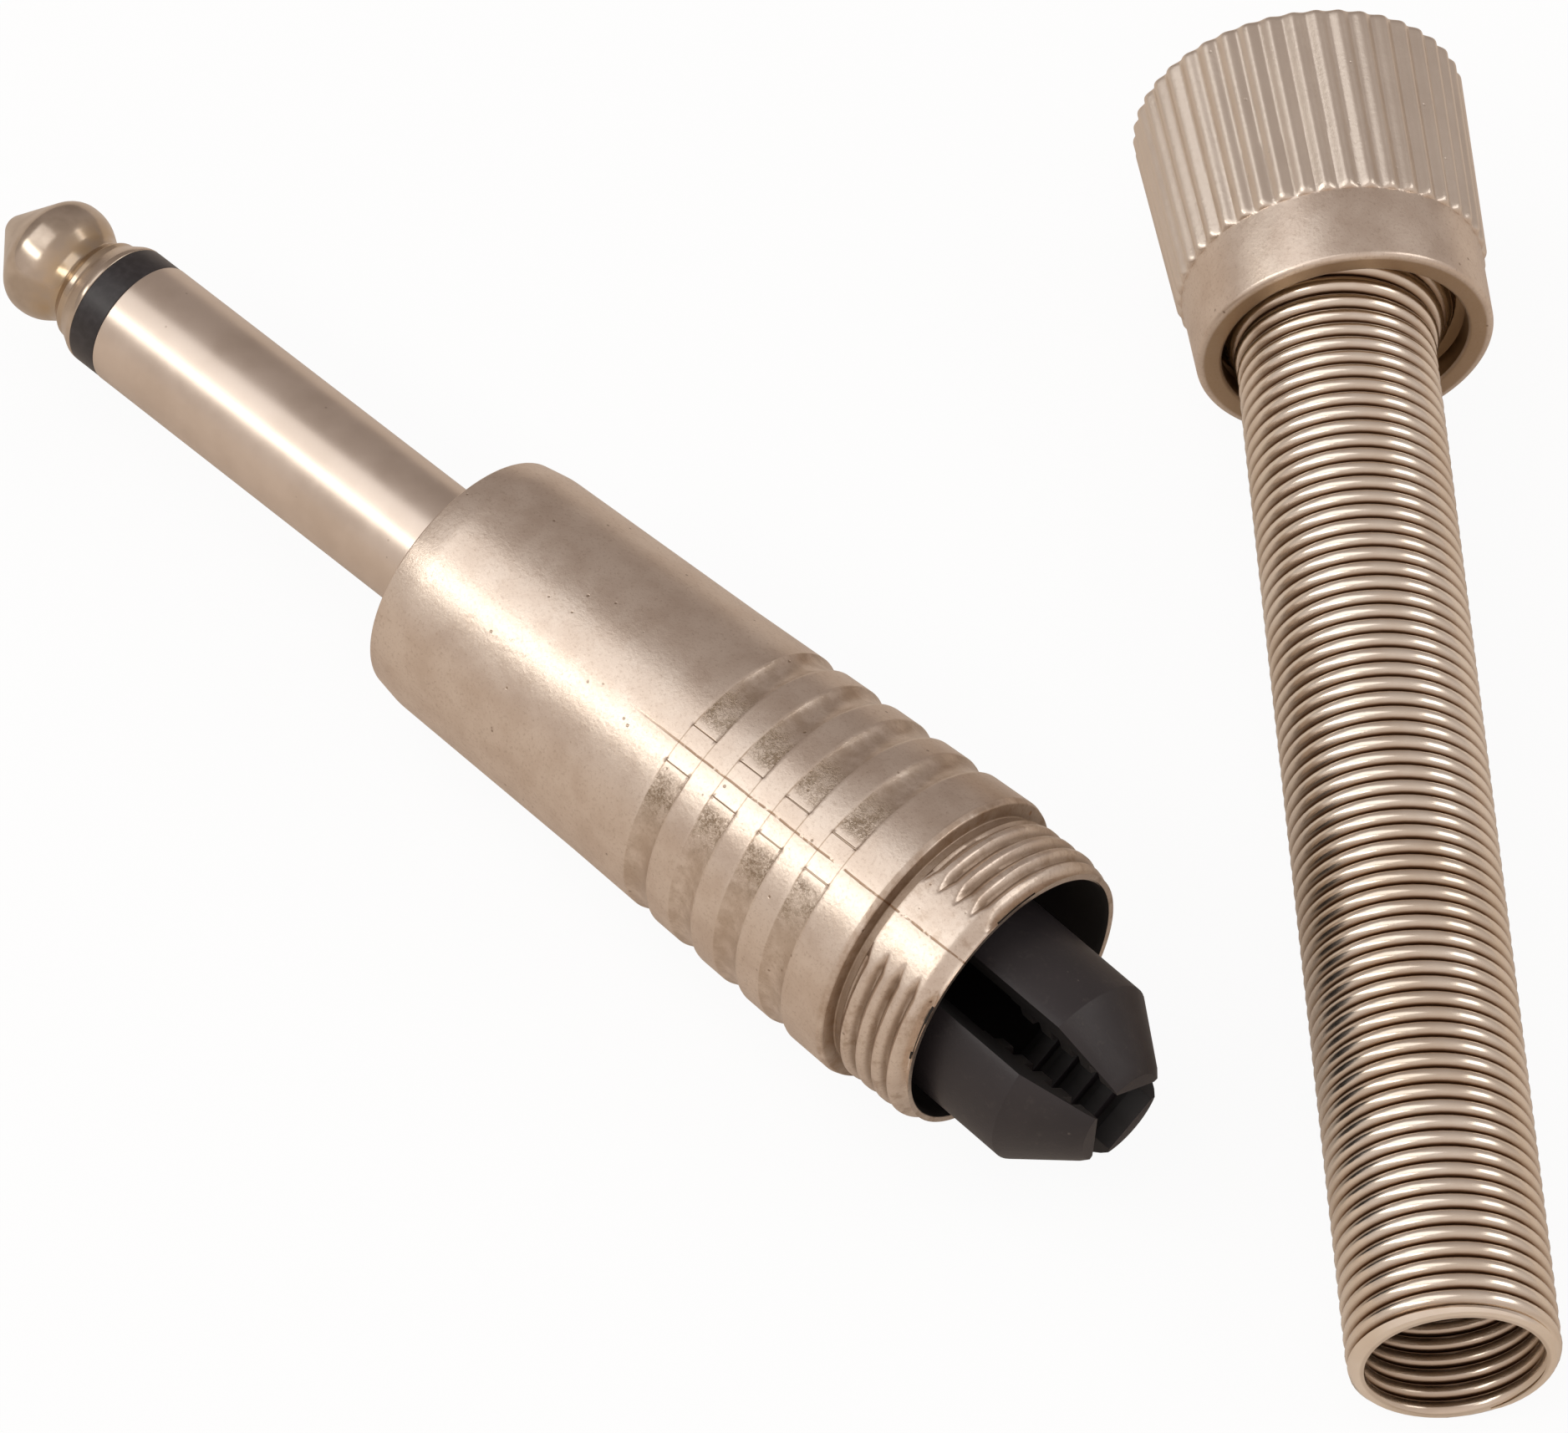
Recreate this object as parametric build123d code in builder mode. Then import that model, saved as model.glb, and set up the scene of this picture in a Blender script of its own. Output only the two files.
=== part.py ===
from build123d import *

import math
import os

os.makedirs("parts", exist_ok=True)

# The plug points along -X, its cable end along +X. The origin is on the plug's axis at the
# shell's front face, the shoulder that meets the socket. All lengths are in millimetres,
# and stations along the plug's axis are counted from that face, rearwards positive.

# Finger that enters the socket
finger_radius = 6.35 / 2
finger_length = 30.8
tip_length = 7.35
nose_radius = 0.42
nose_angle = 43
ball_radius = 2.95
ball_edge = 0.38
ball_length = 3.9
ball_rear_edge = 0.25
neck_radius = 2.32
neck_station = 5.3
neck_length = 0.3
lip_radius = 2.66
lip_station = 6.25
ring_length = 1.6
sleeve_wall = 0.82
rod_radius = 1.0
rod_socket = 3.6
bore_gap = 0.05

# Rear end of the finger, inside the shell
flange_radius = 5.0
flange_length = 1.2
journal_radius = 3.45
rivet_radius = 2.9
rivet_length = 0.8
lug_thickness = 0.5
lug_width = 2.4
washer_radius = 3.7
washer_length = 1.2
sleeve_lug_plate = 6.9
sleeve_lug_length = 7.5
tip_lug_plate = 5.0
tip_lug_length = 4.6
lug_hole = 0.6
rod_end_length = 0.7

# Shell
front_wall = 3.0
front_radius = 6.52
front_edge = 0.8
waist_station = 13.0
waist_radius = 6.84
collar_station = 29.6
collar_radius = 7.5
collar_chamfer = 0.3
relief_radius = 6.85
relief_length = 1.0
thread_radius = 7.1
thread_length = 3.6
thread_chamfer = 0.25
mouth_chamfer = 0.12
terminal_room_radius = 5.7
step_station = 14.4
shell_bore = 6.25

# Grip bands round the shell, left out along the parting strips
grip_count = 4
grip_start = 17.85
grip_pitch = 2.92
grip_width = 1.38
grip_depth = 0.28
strip_width = 2.0
parting_roll = 30.6

# Three-jaw cable chuck, loose in the shell and leaning over
chuck_clearance = 0.2
chuck_collar_length = 2.0
chuck_length = 26.9
chuck_radius = 4.85
chuck_bore = 3.3
chuck_lean = 3.0
chuck_lean_roll = 26.0
chuck_slot_roll = 31.0
jaw_count = 3
jaw_length = 21.3
jaw_taper_length = 3.2
jaw_end_radius = 2.75
jaw_end_chamfer = 0.35
jaw_slot_angle = 29.4
jaw_slot_depth = 0.47
grip_hole_length = 6.4
grip_hole_inradius = 1.62
tooth_count = 5
tooth_pitch = 1.2
tooth_gap = 0.55
tooth_height = 0.65

# Nut, taken off and lying beside the plug
nut_mouth_place = (19.25, 39.53)
nut_yaw = -38.3
nut_length = 14.2
nut_end_radius = 8.1
nut_band_length = 3.9
nut_band_radius = 7.28
nut_band_step = 0.24
nut_edge = 0.45
nut_hole_radius = 5.92
nut_lip = 1.2
nut_room_radius = 6.75
nut_thread_length = 6.4
nut_thread_gap = 0.06
nut_end_chamfer = 0.3
rib_count = 44
rib_share = 0.45
rib_flank_share = 0.1
rib_height = 0.28

# Cable spring, passed through the nut
wire_diameter = 0.8
spring_radius = 4.77
spring_turns = 70
turn_pitch = 0.82
turn_groove = 0.28
turn_flat_count = 16
flare_radius = 6.02
flare_length = 1.5
flare_rim = 0.8
spring_yaw_offset = -4.25
spring_sideways = -0.45
seat_gap = 0.12
flare_gap = 0.43

# Stations that follow from the sizes above
tip_rear = tip_length - finger_length
ring_rear = tip_rear + ring_length
sleeve_bore = finger_radius - sleeve_wall
flange_rear = front_wall + flange_length
rivet_rear = flange_rear + rivet_length
washer_rear = rivet_rear + washer_length
tip_lug_rear = washer_rear + lug_thickness
relief_station = collar_station + collar_chamfer
thread_station = relief_station + relief_length
mouth_station = thread_station + thread_length
spring_bore = spring_radius - wire_diameter
spring_straight = spring_turns * turn_pitch
spring_length = spring_straight + flare_length + flare_rim


# Everything lies on the floor. A turned piece that lies on two of its circles, of radius a at
# station s and radius b at station t, has its axis tilted by this angle.
def lying_tilt(s, a, t, b):
    return math.degrees(math.atan2(b - a, t - s))


def slanted(yaw, rise):
    flat = math.cos(math.radians(rise))
    return Vector(
        flat * math.cos(math.radians(yaw)),
        flat * math.sin(math.radians(yaw)),
        math.sin(math.radians(rise)),
    )


# A side plane has its local x along a turned piece's axis and its local y upwards. A cross
# plane is square to the axis at a station, with its local x level and its local y upwards.
def side_plane(origin, direction):
    level = Vector(-direction.Y, direction.X, 0).normalized()
    return Plane(origin=origin, x_dir=direction, z_dir=-level)


def cross_plane(side, station):
    return Plane(origin=side.from_local_coords((station, 0, 0)), x_dir=-side.z_dir, z_dir=side.x_dir)


# The plug rests on the circles at the shell's front edge and at its collar
plug_tilt = lying_tilt(front_edge, front_radius, collar_station, collar_radius)
plug_slope = math.tan(math.radians(plug_tilt))
floor_level = -(front_radius - front_edge * plug_slope) * math.cos(math.radians(plug_tilt))
plug_direction = slanted(0, plug_tilt)
plug_side = side_plane((0, 0, 0), plug_direction)
plug_axis = Axis((0, 0, 0), plug_direction)

# The nut rests on the two ends of its ribs
rib_start_radius = nut_band_radius + nut_band_step
rib_end = nut_length - nut_end_chamfer
nut_tilt = lying_tilt(nut_band_length, rib_start_radius, rib_end, nut_end_radius)
nut_slope = math.tan(math.radians(nut_tilt))
nut_height = (rib_start_radius - nut_band_length * nut_slope) * math.cos(math.radians(nut_tilt))
nut_mouth = Vector(nut_mouth_place[0], nut_mouth_place[1], floor_level + nut_height)
nut_direction = slanted(nut_yaw + 180, nut_tilt)
nut_side = side_plane(nut_mouth, nut_direction)
nut_axis = Axis(nut_mouth, nut_direction)

# The spring's free end rests on the floor, and its flare on the inside of the nut
flare_station = nut_lip + seat_gap + flare_length / 2
flare_height = nut_height + flare_station * math.sin(math.radians(nut_tilt))
flare_drop = nut_room_radius - flare_radius - flare_gap
spring_rise = flare_height - flare_drop - spring_radius
spring_tilt = math.degrees(math.asin(spring_rise / spring_length))
spring_yaw = nut_yaw + spring_yaw_offset
spring_direction = slanted(spring_yaw + 180, spring_tilt)
spring_level = slanted(spring_yaw + 90, 0)
spring_in_nut = nut_lip + seat_gap + flare_length + flare_rim
free_end_reach = (spring_length - spring_in_nut) * math.cos(math.radians(spring_tilt))
spring_end = Vector(
    nut_mouth.X + free_end_reach * math.cos(math.radians(spring_yaw)),
    nut_mouth.Y + free_end_reach * math.sin(math.radians(spring_yaw)),
    floor_level + spring_radius,
) + spring_level * spring_sideways
spring_side = side_plane(spring_end, spring_direction)
spring_axis = Axis(spring_end, spring_direction)

# The chuck's collar is guided in the shell's bore, and its jaws lean down towards one side
chuck_lean_angle = math.radians(chuck_lean)
chuck_lean_side = math.radians(chuck_lean_roll)
chuck_station = step_station + chuck_clearance + shell_bore * math.sin(chuck_lean_angle)
chuck_origin = plug_side.from_local_coords((chuck_station, 0, 0))
chuck_direction = plug_side.from_local_coords(
    (
        math.cos(chuck_lean_angle),
        -math.sin(chuck_lean_angle) * math.cos(chuck_lean_side),
        math.sin(chuck_lean_angle) * math.sin(chuck_lean_side),
    )
)
chuck_side = side_plane(chuck_origin, chuck_direction)
chuck_axis = Axis(chuck_origin, chuck_direction)


# Radius of the shell's flared outside between the waist and the collar
def shell_radius(station):
    share = (station - waist_station) / (collar_station - waist_station)
    return waist_radius + share * (collar_radius - waist_radius)


# Finger contacts and insulators

with BuildPart() as tip_contact:
    nose = -finger_length
    cone_top = ball_radius - ball_edge / 2
    cone_rear = nose + (cone_top - nose_radius) / math.tan(math.radians(nose_angle))
    ball_rear = nose + ball_length
    neck = nose + neck_station
    with BuildSketch(plug_side):
        with BuildLine():
            Polyline(
                (nose, 0),
                (nose, nose_radius),
                (cone_rear, cone_top),
                (cone_rear + ball_edge, ball_radius),
                (ball_rear - ball_rear_edge, ball_radius),
                (ball_rear + ball_rear_edge, ball_radius - ball_rear_edge / 2),
                (neck - neck_length / 2, neck_radius),
                (neck + neck_length / 2, neck_radius),
                (nose + lip_station, lip_radius),
                (tip_rear, finger_radius),
                (tip_rear, rod_radius),
                (tip_rear - rod_socket, rod_radius),
                (tip_rear - rod_socket, 0),
                close=True,
            )
        make_face()
    revolve(axis=plug_axis)
tip_contact.part.label = "tip_contact"
export_step(tip_contact.part, "parts/tip_contact.step")

with BuildPart() as centre_rod:
    with BuildSketch(plug_side):
        with BuildLine():
            Polyline(
                (tip_rear - rod_socket, 0),
                (tip_rear - rod_socket, rod_radius),
                (tip_lug_rear + rod_end_length, rod_radius),
                (tip_lug_rear + rod_end_length, 0),
                close=True,
            )
        make_face()
    revolve(axis=plug_axis)
centre_rod.part.label = "centre_rod"
export_step(centre_rod.part, "parts/centre_rod.step")

with BuildPart() as tip_insulator:
    with BuildSketch(plug_side):
        with BuildLine():
            Polyline(
                (tip_rear, rod_radius + bore_gap),
                (tip_rear, finger_radius),
                (ring_rear, finger_radius),
                (ring_rear, rod_radius + bore_gap),
                close=True,
            )
        make_face()
    revolve(axis=plug_axis)
tip_insulator.part.label = "tip_insulator"
export_step(tip_insulator.part, "parts/tip_insulator.step")

with BuildPart() as rod_insulator:
    with BuildSketch(plug_side):
        with BuildLine():
            Polyline(
                (ring_rear, rod_radius + bore_gap),
                (ring_rear, sleeve_bore - bore_gap),
                (rivet_rear, sleeve_bore - bore_gap),
                (rivet_rear, rod_radius + bore_gap),
                close=True,
            )
        make_face()
    revolve(axis=plug_axis)
rod_insulator.part.label = "rod_insulator"
export_step(rod_insulator.part, "parts/rod_insulator.step")

with BuildPart() as sleeve_contact:
    with BuildSketch(plug_side):
        with BuildLine():
            Polyline(
                (ring_rear, sleeve_bore),
                (ring_rear, finger_radius),
                (0, finger_radius),
                (0, journal_radius),
                (front_wall, journal_radius),
                (front_wall, flange_radius),
                (flange_rear, flange_radius),
                (flange_rear, rivet_radius),
                (rivet_rear, rivet_radius),
                (rivet_rear, sleeve_bore),
                close=True,
            )
        make_face()
    revolve(axis=plug_axis)
sleeve_contact.part.label = "sleeve_contact"
export_step(sleeve_contact.part, "parts/sleeve_contact.step")

with BuildPart() as rear_insulator:
    with BuildSketch(plug_side):
        with BuildLine():
            Polyline(
                (rivet_rear, rod_radius + bore_gap),
                (rivet_rear, washer_radius),
                (washer_rear, washer_radius),
                (washer_rear, rod_radius + bore_gap),
                close=True,
            )
        make_face()
    revolve(axis=plug_axis)
rear_insulator.part.label = "rear_insulator"
export_step(rear_insulator.part, "parts/rear_insulator.step")

# Solder lugs: a square plate on the rivet or the rod, with a tab bent rearwards that has a hole

with BuildPart() as sleeve_terminal:
    sleeve_tab = washer_radius + bore_gap
    with BuildSketch(cross_plane(plug_side, flange_rear)):
        Rectangle(sleeve_lug_plate, 2 * (sleeve_tab + lug_thickness))
        Circle(rivet_radius + bore_gap, mode=Mode.SUBTRACT)
    extrude(amount=lug_thickness)
    with BuildSketch(plug_side.offset(-lug_width / 2)):
        with BuildLine():
            Polyline(
                (flange_rear, -sleeve_tab),
                (flange_rear, -sleeve_tab - lug_thickness),
                (flange_rear + sleeve_lug_length, -sleeve_tab - lug_thickness),
                (flange_rear + sleeve_lug_length, -sleeve_tab),
                close=True,
            )
        make_face()
    extrude(amount=lug_width)
    with Locations(plug_side.rotated((90, 0, 0)).offset(sleeve_tab)):
        with Locations((flange_rear + sleeve_lug_length - 2 * lug_hole, 0, 0)):
            Cylinder(lug_hole, 4 * lug_thickness, mode=Mode.SUBTRACT)
sleeve_terminal.part.label = "sleeve_terminal"
export_step(sleeve_terminal.part, "parts/sleeve_terminal.step")

with BuildPart() as tip_terminal:
    tip_tab = tip_lug_plate / 2 - lug_thickness
    with BuildSketch(cross_plane(plug_side, washer_rear)):
        Rectangle(tip_lug_plate, tip_lug_plate)
        Circle(rod_radius + bore_gap, mode=Mode.SUBTRACT)
    extrude(amount=lug_thickness)
    with BuildSketch(plug_side.offset(-lug_width / 2)):
        with BuildLine():
            Polyline(
                (washer_rear, tip_tab),
                (washer_rear, tip_tab + lug_thickness),
                (washer_rear + tip_lug_length, tip_tab + lug_thickness),
                (washer_rear + tip_lug_length, tip_tab),
                close=True,
            )
        make_face()
    extrude(amount=lug_width)
    with Locations(plug_side.rotated((90, 0, 0)).offset(-tip_tab)):
        with Locations((washer_rear + tip_lug_length - 2 * lug_hole, 0, 0)):
            Cylinder(lug_hole, 4 * lug_thickness, mode=Mode.SUBTRACT)
tip_terminal.part.label = "tip_terminal"
export_step(tip_terminal.part, "parts/tip_terminal.step")

# Shell: a flared casting with scalloped grip bands that stop at the two parting strips

with BuildPart() as grip_scallops:
    with BuildSketch(plug_side):
        for i in range(grip_count):
            middle = grip_start + i * grip_pitch
            left = middle - grip_width / 2
            right = middle + grip_width / 2
            with BuildLine():
                Polyline(
                    (left, shell_radius(left)),
                    (middle, shell_radius(middle) - grip_depth),
                    (right, shell_radius(right)),
                    (right, collar_radius + 1),
                    (left, collar_radius + 1),
                    close=True,
                )
            make_face()
    revolve(axis=plug_axis)
    with BuildSketch(cross_plane(plug_side, grip_start - grip_width)):
        Rectangle(strip_width, 4 * collar_radius, rotation=parting_roll)
    extrude(amount=(grip_count + 1) * grip_pitch, mode=Mode.SUBTRACT)

with BuildPart() as shell:
    with BuildSketch(plug_side):
        with BuildLine():
            Polyline(
                (0, journal_radius + bore_gap),
                (0, front_radius - front_edge),
                (front_edge, front_radius),
                (waist_station, waist_radius),
                (collar_station, collar_radius),
                (relief_station, collar_radius - collar_chamfer),
                (relief_station, relief_radius),
                (thread_station, relief_radius),
                (thread_station, thread_radius),
                (mouth_station - thread_chamfer, thread_radius),
                (mouth_station, thread_radius - thread_chamfer),
                (mouth_station, shell_bore + mouth_chamfer),
                (mouth_station - mouth_chamfer, shell_bore),
                (step_station, shell_bore),
                (step_station, terminal_room_radius),
                (front_wall, terminal_room_radius),
                (front_wall, journal_radius + bore_gap),
                close=True,
            )
        make_face()
    revolve(axis=plug_axis)
    add(grip_scallops.part, mode=Mode.SUBTRACT)
shell.part.label = "shell"
export_step(shell.part, "parts/shell.step")

# Chuck: one moulding with a guide collar, a slotted barrel and three toothed jaws

with BuildPart() as chuck:
    barrel_end = chuck_length - jaw_taper_length
    teeth_start = chuck_length - grip_hole_length
    collar_outside = shell_bore - chuck_clearance
    with BuildSketch(chuck_side):
        with BuildLine():
            Polyline(
                (0, chuck_bore),
                (0, collar_outside),
                (chuck_collar_length, collar_outside),
                (chuck_collar_length, chuck_radius),
                (barrel_end, chuck_radius),
                (chuck_length - jaw_end_chamfer, jaw_end_radius),
                (chuck_length, jaw_end_radius - jaw_end_chamfer),
                (chuck_length, 0),
                (teeth_start, 0),
                (teeth_start, chuck_bore),
                close=True,
            )
        make_face()
    revolve(axis=chuck_axis)
    jaw_turn = 90 + chuck_slot_roll + 180 / jaw_count
    with BuildSketch(cross_plane(chuck_side, teeth_start)):
        RegularPolygon(
            grip_hole_inradius, jaw_count, major_radius=False, rotation=jaw_turn + 180 / jaw_count
        )
    extrude(amount=grip_hole_length, mode=Mode.SUBTRACT)
    for i in range(tooth_count):
        gap_start = teeth_start + i * tooth_pitch
        with BuildSketch(cross_plane(chuck_side, gap_start)):
            RegularPolygon(
                grip_hole_inradius + tooth_height,
                jaw_count,
                major_radius=False,
                rotation=jaw_turn + 180 / jaw_count,
            )
        extrude(amount=tooth_gap, mode=Mode.SUBTRACT)
    with BuildSketch(cross_plane(chuck_side, chuck_length - jaw_length)):
        slot_reach = chuck_radius + 1
        slot_half = (slot_reach + jaw_slot_depth) * math.tan(math.radians(jaw_slot_angle / 2))
        with PolarLocations(0, jaw_count, start_angle=90 + chuck_slot_roll):
            Polygon(
                (-jaw_slot_depth, 0), (slot_reach, -slot_half), (slot_reach, slot_half), align=None
            )
    extrude(amount=jaw_length, mode=Mode.SUBTRACT)
chuck.part.label = "chuck"
export_step(chuck.part, "parts/chuck.step")

# Nut: ribbed outside, with a lipped hole for the spring and a threaded end for the shell

rib_start = nut_band_length
rib_outline_turns = []
for i in range(rib_count):
    for share, raised in (
        (-rib_share / 2 - rib_flank_share, False),
        (-rib_share / 2, True),
        (rib_share / 2, True),
        (rib_share / 2 + rib_flank_share, False),
    ):
        rib_outline_turns.append((math.radians((i + share) * 360 / rib_count), raised))


def rib_outline(crest_radius):
    points = []
    for turn, raised in rib_outline_turns:
        radius = crest_radius if raised else crest_radius - rib_height
        points.append((radius * math.cos(turn), radius * math.sin(turn)))
    return points


with BuildPart() as nut:
    thread_start = nut_length - nut_thread_length
    thread_bore = thread_radius + nut_thread_gap
    rib_root = nut_end_radius - rib_height
    with BuildSketch(cross_plane(nut_side, rib_start)):
        Polygon(*rib_outline(rib_start_radius), align=None)
    with BuildSketch(cross_plane(nut_side, rib_end)):
        Polygon(*rib_outline(nut_end_radius), align=None)
    loft(ruled=True)
    with BuildSketch(nut_side):
        with BuildLine():
            Polyline(
                (0, 0),
                (0, nut_band_radius - nut_edge),
                (nut_edge, nut_band_radius),
                (rib_start, nut_band_radius),
                (rib_start, 0),
                close=True,
            )
            Polyline(
                (rib_end, 0),
                (rib_end, rib_root),
                (nut_length, rib_root - nut_end_chamfer),
                (nut_length, 0),
                close=True,
            )
        make_face()
    revolve(axis=nut_axis)
    with BuildSketch(nut_side):
        with BuildLine():
            Polyline(
                (0, 0),
                (0, nut_hole_radius),
                (nut_lip, nut_hole_radius),
                (nut_lip, nut_room_radius),
                (thread_start, nut_room_radius),
                (thread_start, thread_bore),
                (nut_length, thread_bore),
                (nut_length, 0),
                close=True,
            )
        make_face()
    revolve(axis=nut_axis, mode=Mode.SUBTRACT)
nut.part.label = "nut"
export_step(nut.part, "parts/nut.step")

# Spring: each close turn is a ridge made of flats round a tube, and the last turns flare inside
# the nut

with BuildPart() as spring:
    groove_radius = spring_radius - turn_groove
    sections = [(0, groove_radius)]
    for i in range(spring_turns):
        sections.append(((i + 0.5) * turn_pitch, spring_radius))
        sections.append(((i + 1) * turn_pitch, groove_radius))
    flare_top = spring_straight + flare_length
    sections.append((flare_top, flare_radius))
    sections.append((spring_length, flare_radius))
    for station, radius in sections:
        with BuildSketch(cross_plane(spring_side, station)):
            RegularPolygon(radius, turn_flat_count)
    loft(ruled=True)
    with BuildSketch(spring_side):
        with BuildLine():
            Polyline(
                (0, 0),
                (0, spring_bore),
                (spring_straight, spring_bore),
                (flare_top, flare_radius - wire_diameter),
                (spring_length, flare_radius - wire_diameter),
                (spring_length, 0),
                close=True,
            )
        make_face()
    revolve(axis=spring_axis, mode=Mode.SUBTRACT)
spring.part.label = "spring"
export_step(spring.part, "parts/spring.step")
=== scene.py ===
import math

import bmesh
import bpy
from mathutils import Matrix, Vector


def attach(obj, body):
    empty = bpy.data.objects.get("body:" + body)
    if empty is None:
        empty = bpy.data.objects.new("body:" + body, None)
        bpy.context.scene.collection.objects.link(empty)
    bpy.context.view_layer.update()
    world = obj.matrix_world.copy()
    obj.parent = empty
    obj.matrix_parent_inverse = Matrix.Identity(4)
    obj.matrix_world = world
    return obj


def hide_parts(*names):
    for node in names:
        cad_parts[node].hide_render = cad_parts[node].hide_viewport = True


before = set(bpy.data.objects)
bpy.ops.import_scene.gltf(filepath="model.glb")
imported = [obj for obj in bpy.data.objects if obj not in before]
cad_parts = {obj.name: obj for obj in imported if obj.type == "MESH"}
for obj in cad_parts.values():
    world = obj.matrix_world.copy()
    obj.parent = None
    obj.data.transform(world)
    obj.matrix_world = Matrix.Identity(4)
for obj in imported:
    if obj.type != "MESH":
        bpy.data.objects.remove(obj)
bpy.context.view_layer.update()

# Camera: a long lens looking down on the plug from above its cable end, tilted a little
# clockwise. The aim is the point of the floor in the middle of the picture.
MM = 0.001
camera_bearing = math.radians(-49.85)
camera_elevation = math.radians(52.26)
camera_roll = math.radians(4.92)
camera_distance = 408.9
camera_lens = 200.95
floor_level = -6.489
camera_aim = Vector((12.61, 8.60, floor_level))
towards_camera = Vector(
    (
        math.cos(camera_elevation) * math.cos(camera_bearing),
        math.cos(camera_elevation) * math.sin(camera_bearing),
        math.sin(camera_elevation),
    )
)
camera_data = bpy.data.cameras.new("camera")
camera_data.lens = camera_lens
camera_data.sensor_fit = "HORIZONTAL"
camera_data.sensor_width = 36
camera_data.clip_start = 0.01
camera_data.clip_end = 20
camera = bpy.data.objects.new("camera", camera_data)
bpy.context.collection.objects.link(camera)
camera.matrix_world = (
    Matrix.Translation((camera_aim + camera_distance * towards_camera) * MM)
    @ towards_camera.to_track_quat("Z", "Y").to_matrix().to_4x4()
    @ Matrix.Rotation(camera_roll, 4, "Z")
)
bpy.context.scene.camera = camera
bpy.context.scene.view_settings.view_transform = "Standard"


# Floor: a plain white sheet under the parts, which keeps their soft shadows. Every finish is
# a node tree; a Socket wraps one output of it, so that sums are written as sums.
class Socket:
    def __init__(self, tree, output):
        self.tree = tree
        self.output = output

    def maths(self, operation, first, second=0.0):
        values = {0: first, 1: second}
        return add_node(self.tree, "ShaderNodeMath", {"operation": operation}, values)

    def __add__(self, other):
        return self.maths("ADD", self, other)

    def __radd__(self, other):
        return self.maths("ADD", other, self)

    def __sub__(self, other):
        return self.maths("SUBTRACT", self, other)

    def __rsub__(self, other):
        return self.maths("SUBTRACT", other, self)

    def __mul__(self, other):
        return self.maths("MULTIPLY", self, other)

    def __rmul__(self, other):
        return self.maths("MULTIPLY", other, self)

    def __truediv__(self, other):
        return self.maths("DIVIDE", self, other)

    def size(self):
        return self.maths("ABSOLUTE", self)

    def between(self, low, high):
        settings = {"interpolation_type": "SMOOTHSTEP"}
        values = {"Value": self, "From Min": low, "From Max": high}
        return add_node(self.tree, "ShaderNodeMapRange", settings, values)

    def part(self, name):
        return Socket(self.tree, self.output.node.outputs[name])


def add_node(tree, kind, settings, values, output=0):
    node = tree.nodes.new(kind)
    for name, setting in settings.items():
        setattr(node, name, setting)
    for name, value in values.items():
        if isinstance(value, Socket):
            tree.links.new(value.output, node.inputs[name])
        else:
            node.inputs[name].default_value = value
    return Socket(tree, node.outputs[output])


def mixed(tree, share, first, second):
    settings = {"data_type": "RGBA", "clamp_factor": True}
    return add_node(tree, "ShaderNodeMix", settings, {0: share, 6: first, 7: second}, output=2)


def new_finish(name):
    material = bpy.data.materials.new(name)
    material.use_nodes = True
    material.node_tree.nodes.clear()
    return material, material.node_tree


def surface(tree, values):
    shader = add_node(tree, "ShaderNodeBsdfPrincipled", {}, values)
    add_node_output(tree, shader)


def add_node_output(tree, shader):
    output = tree.nodes.new("ShaderNodeOutputMaterial")
    tree.links.new(shader.output, output.inputs["Surface"])


def new_object(name, mesh_maker, finishes):
    mesh = bpy.data.meshes.new(name)
    mesh_maker.to_mesh(mesh)
    mesh_maker.free()
    for finish in finishes:
        mesh.materials.append(finish)
    piece = bpy.data.objects.new(name, mesh)
    bpy.context.collection.objects.link(piece)
    return piece


floor_half = 0.9
floor_middle = (0.015, 0.01, floor_level * MM)
floor_colour = (0.72, 0.65, 0.58, 1)
white = (1, 1, 1, 1)
floor_finish, tree = new_finish("pale_sheet")
seen = add_node(tree, "ShaderNodeLightPath", {}, {})
sheet_colour = mixed(tree, seen.part("Is Camera Ray"), floor_colour, white)
sheet = add_node(tree, "ShaderNodeBsdfDiffuse", {}, {"Color": sheet_colour})
glow = add_node(tree, "ShaderNodeEmission", {}, {"Color": white, "Strength": 1.0})
share = seen.part("Is Camera Ray") * 0.93 + seen.part("Is Glossy Ray") * 0.06
add_node_output(tree, add_node(tree, "ShaderNodeMixShader", {}, {0: share, 1: sheet, 2: glow}))
bm = bmesh.new()
bmesh.ops.create_grid(bm, x_segments=1, y_segments=1, size=floor_half)
bmesh.ops.translate(bm, verts=bm.verts, vec=floor_middle)
floor = new_object("floor", bm, [floor_finish])

# Light: a warm room that is a little darker behind and to the left, a narrow soft box in
# front of the plug, a broad one overhead and one behind on the right.
world = bpy.data.worlds.new("studio")
bpy.context.scene.world = world
world.use_nodes = True
tree = world.node_tree
tree.nodes.clear()
seen = add_node(tree, "ShaderNodeLightPath", {}, {})
facing = add_node(tree, "ShaderNodeTexCoord", {}, {}).part("Generated")
facing = add_node(tree, "ShaderNodeSeparateXYZ", {}, {"Vector": facing})
share = facing.part("X") * 0.3 - facing.part("Y") * 0.3 + 0.5
room = mixed(tree, share, (0.29, 0.24, 0.215, 1), (0.82, 0.72, 0.66, 1))
shade = mixed(tree, seen.part("Is Camera Ray"), room, white)
background = add_node(tree, "ShaderNodeBackground", {}, {"Color": shade, "Strength": 1.0})
world_output = tree.nodes.new("ShaderNodeOutputWorld")
tree.links.new(background.output, world_output.inputs["Surface"])


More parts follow.
